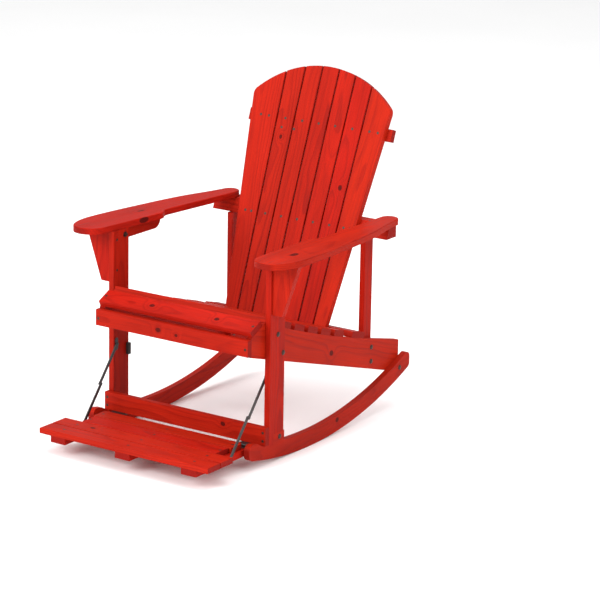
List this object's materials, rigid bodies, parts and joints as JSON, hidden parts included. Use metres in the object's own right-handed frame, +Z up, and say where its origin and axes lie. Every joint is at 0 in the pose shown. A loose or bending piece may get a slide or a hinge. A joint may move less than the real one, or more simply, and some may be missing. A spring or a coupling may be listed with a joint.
{
  "type": "adirondack chair",
  "caption": "Slatted wooden adirondack rocking chair with wide flat arms, a fan-shaped arched back and a footrest that folds up under the seat.",
  "frame": {"origin": "on the floor, midway between the footrest's front edge and the rockers' tails, in the middle of the width", "axes": "+Z up, +Y towards the back of the chair, +X towards the sitter's left hand"},
  "size_m": [0.7565, 1.022, 0.98],
  "materials": {
    "red_pine": "red stain, satin",
    "back_slat_pine": "red stain, satin",
    "black_steel": "black, satin",
    "screw_steel": "dull",
    "bolt_steel": "dull",
    "black_rubber": "matt"
  },
  "bodies": {
    "frame": {"arm_beam": "red_pine", "arm_bracket_left": "red_pine", "arm_bracket_right": "red_pine", "arm_cleat_left": "red_pine", "arm_cleat_right": "red_pine", "arm_left": "red_pine", "arm_right": "red_pine", "back_screws": "screw_steel", "back_slat_1": "back_slat_pine", "back_slat_2": "back_slat_pine", "back_slat_3": "back_slat_pine", "back_slat_4": "back_slat_pine", "back_slat_5": "back_slat_pine", "back_slat_6": "back_slat_pine", "back_slat_7": "back_slat_pine", "frame_bolts": "bolt_steel", "frame_nuts": "bolt_steel", "frame_screws": "screw_steel", "front_leg_left": "red_pine", "front_leg_right": "red_pine", "front_stretcher": "red_pine", "hinge_fixed_leaf_left": "black_steel", "hinge_fixed_leaf_right": "black_steel", "leg_bumpers": "black_rubber", "lower_back_brace": "red_pine", "rear_post_left": "red_pine", "rear_post_right": "red_pine", "rocker_left": "red_pine", "rocker_right": "red_pine", "seat_apron": "red_pine", "seat_nose_slat": "red_pine", "seat_screws": "screw_steel", "seat_slat_1": "red_pine", "seat_slat_2": "red_pine", "seat_slat_3": "red_pine", "seat_slat_4": "red_pine", "seat_slat_5": "red_pine", "seat_slat_6": "red_pine", "side_rail_left": "red_pine", "side_rail_right": "red_pine", "stay_leg_pivots": "black_steel", "upper_back_brace": "red_pine"},
    "footrest": {"footrest_cleat_left": "red_pine", "footrest_cleat_middle": "red_pine", "footrest_cleat_right": "red_pine", "footrest_screws": "screw_steel", "footrest_slat_1": "red_pine", "footrest_slat_2": "red_pine", "footrest_slat_3": "red_pine", "footrest_slat_4": "red_pine", "hinge_moving_leaf_left": "black_steel", "hinge_moving_leaf_right": "black_steel", "hinge_pin_left": "black_steel", "hinge_pin_right": "black_steel", "stay_foot_pivots": "black_steel"},
    "stay_upper_left": {"stay_upper_left": "black_steel"},
    "stay_upper_right": {"stay_upper_right": "black_steel"},
    "stay_lower_left": {"stay_lower_left": "black_steel"},
    "stay_lower_right": {"stay_lower_right": "black_steel"}
  },
  "joints": [
    {"name": "footrest_fold", "type": "hinge", "parent": "frame", "child": "footrest", "pos_m": [0, -0.249, 0.0555], "axis": [-1, 0, 0], "range_deg": [0, 78]},
    {"name": "stay_top_left", "type": "hinge", "parent": "frame", "child": "stay_upper_left", "pos_m": [0.2588, -0.199, 0.247], "axis": [1, 0, 0], "range_deg": [0, 59.5]},
    {"name": "stay_foot_left", "type": "hinge", "parent": "footrest", "child": "stay_lower_left", "pos_m": [0.2548, -0.359, 0.05], "axis": [1, 0, 0], "range_deg": [0, 11.7]},
    {"name": "stay_top_right", "type": "hinge", "parent": "frame", "child": "stay_upper_right", "pos_m": [-0.2588, -0.199, 0.247], "axis": [1, 0, 0], "range_deg": [0, 59.5]},
    {"name": "stay_foot_right", "type": "hinge", "parent": "footrest", "child": "stay_lower_right", "pos_m": [-0.2548, -0.359, 0.05], "axis": [1, 0, 0], "range_deg": [0, 11.7]}
  ],
  "couplings": [
    {"joint": "stay_top_left", "follows": "footrest_fold", "ratio": 0.7613},
    {"joint": "stay_foot_left", "follows": "footrest_fold", "ratio": 0.1481},
    {"joint": "stay_top_right", "follows": "footrest_fold", "ratio": 0.7613},
    {"joint": "stay_foot_right", "follows": "footrest_fold", "ratio": 0.1481}
  ]
}
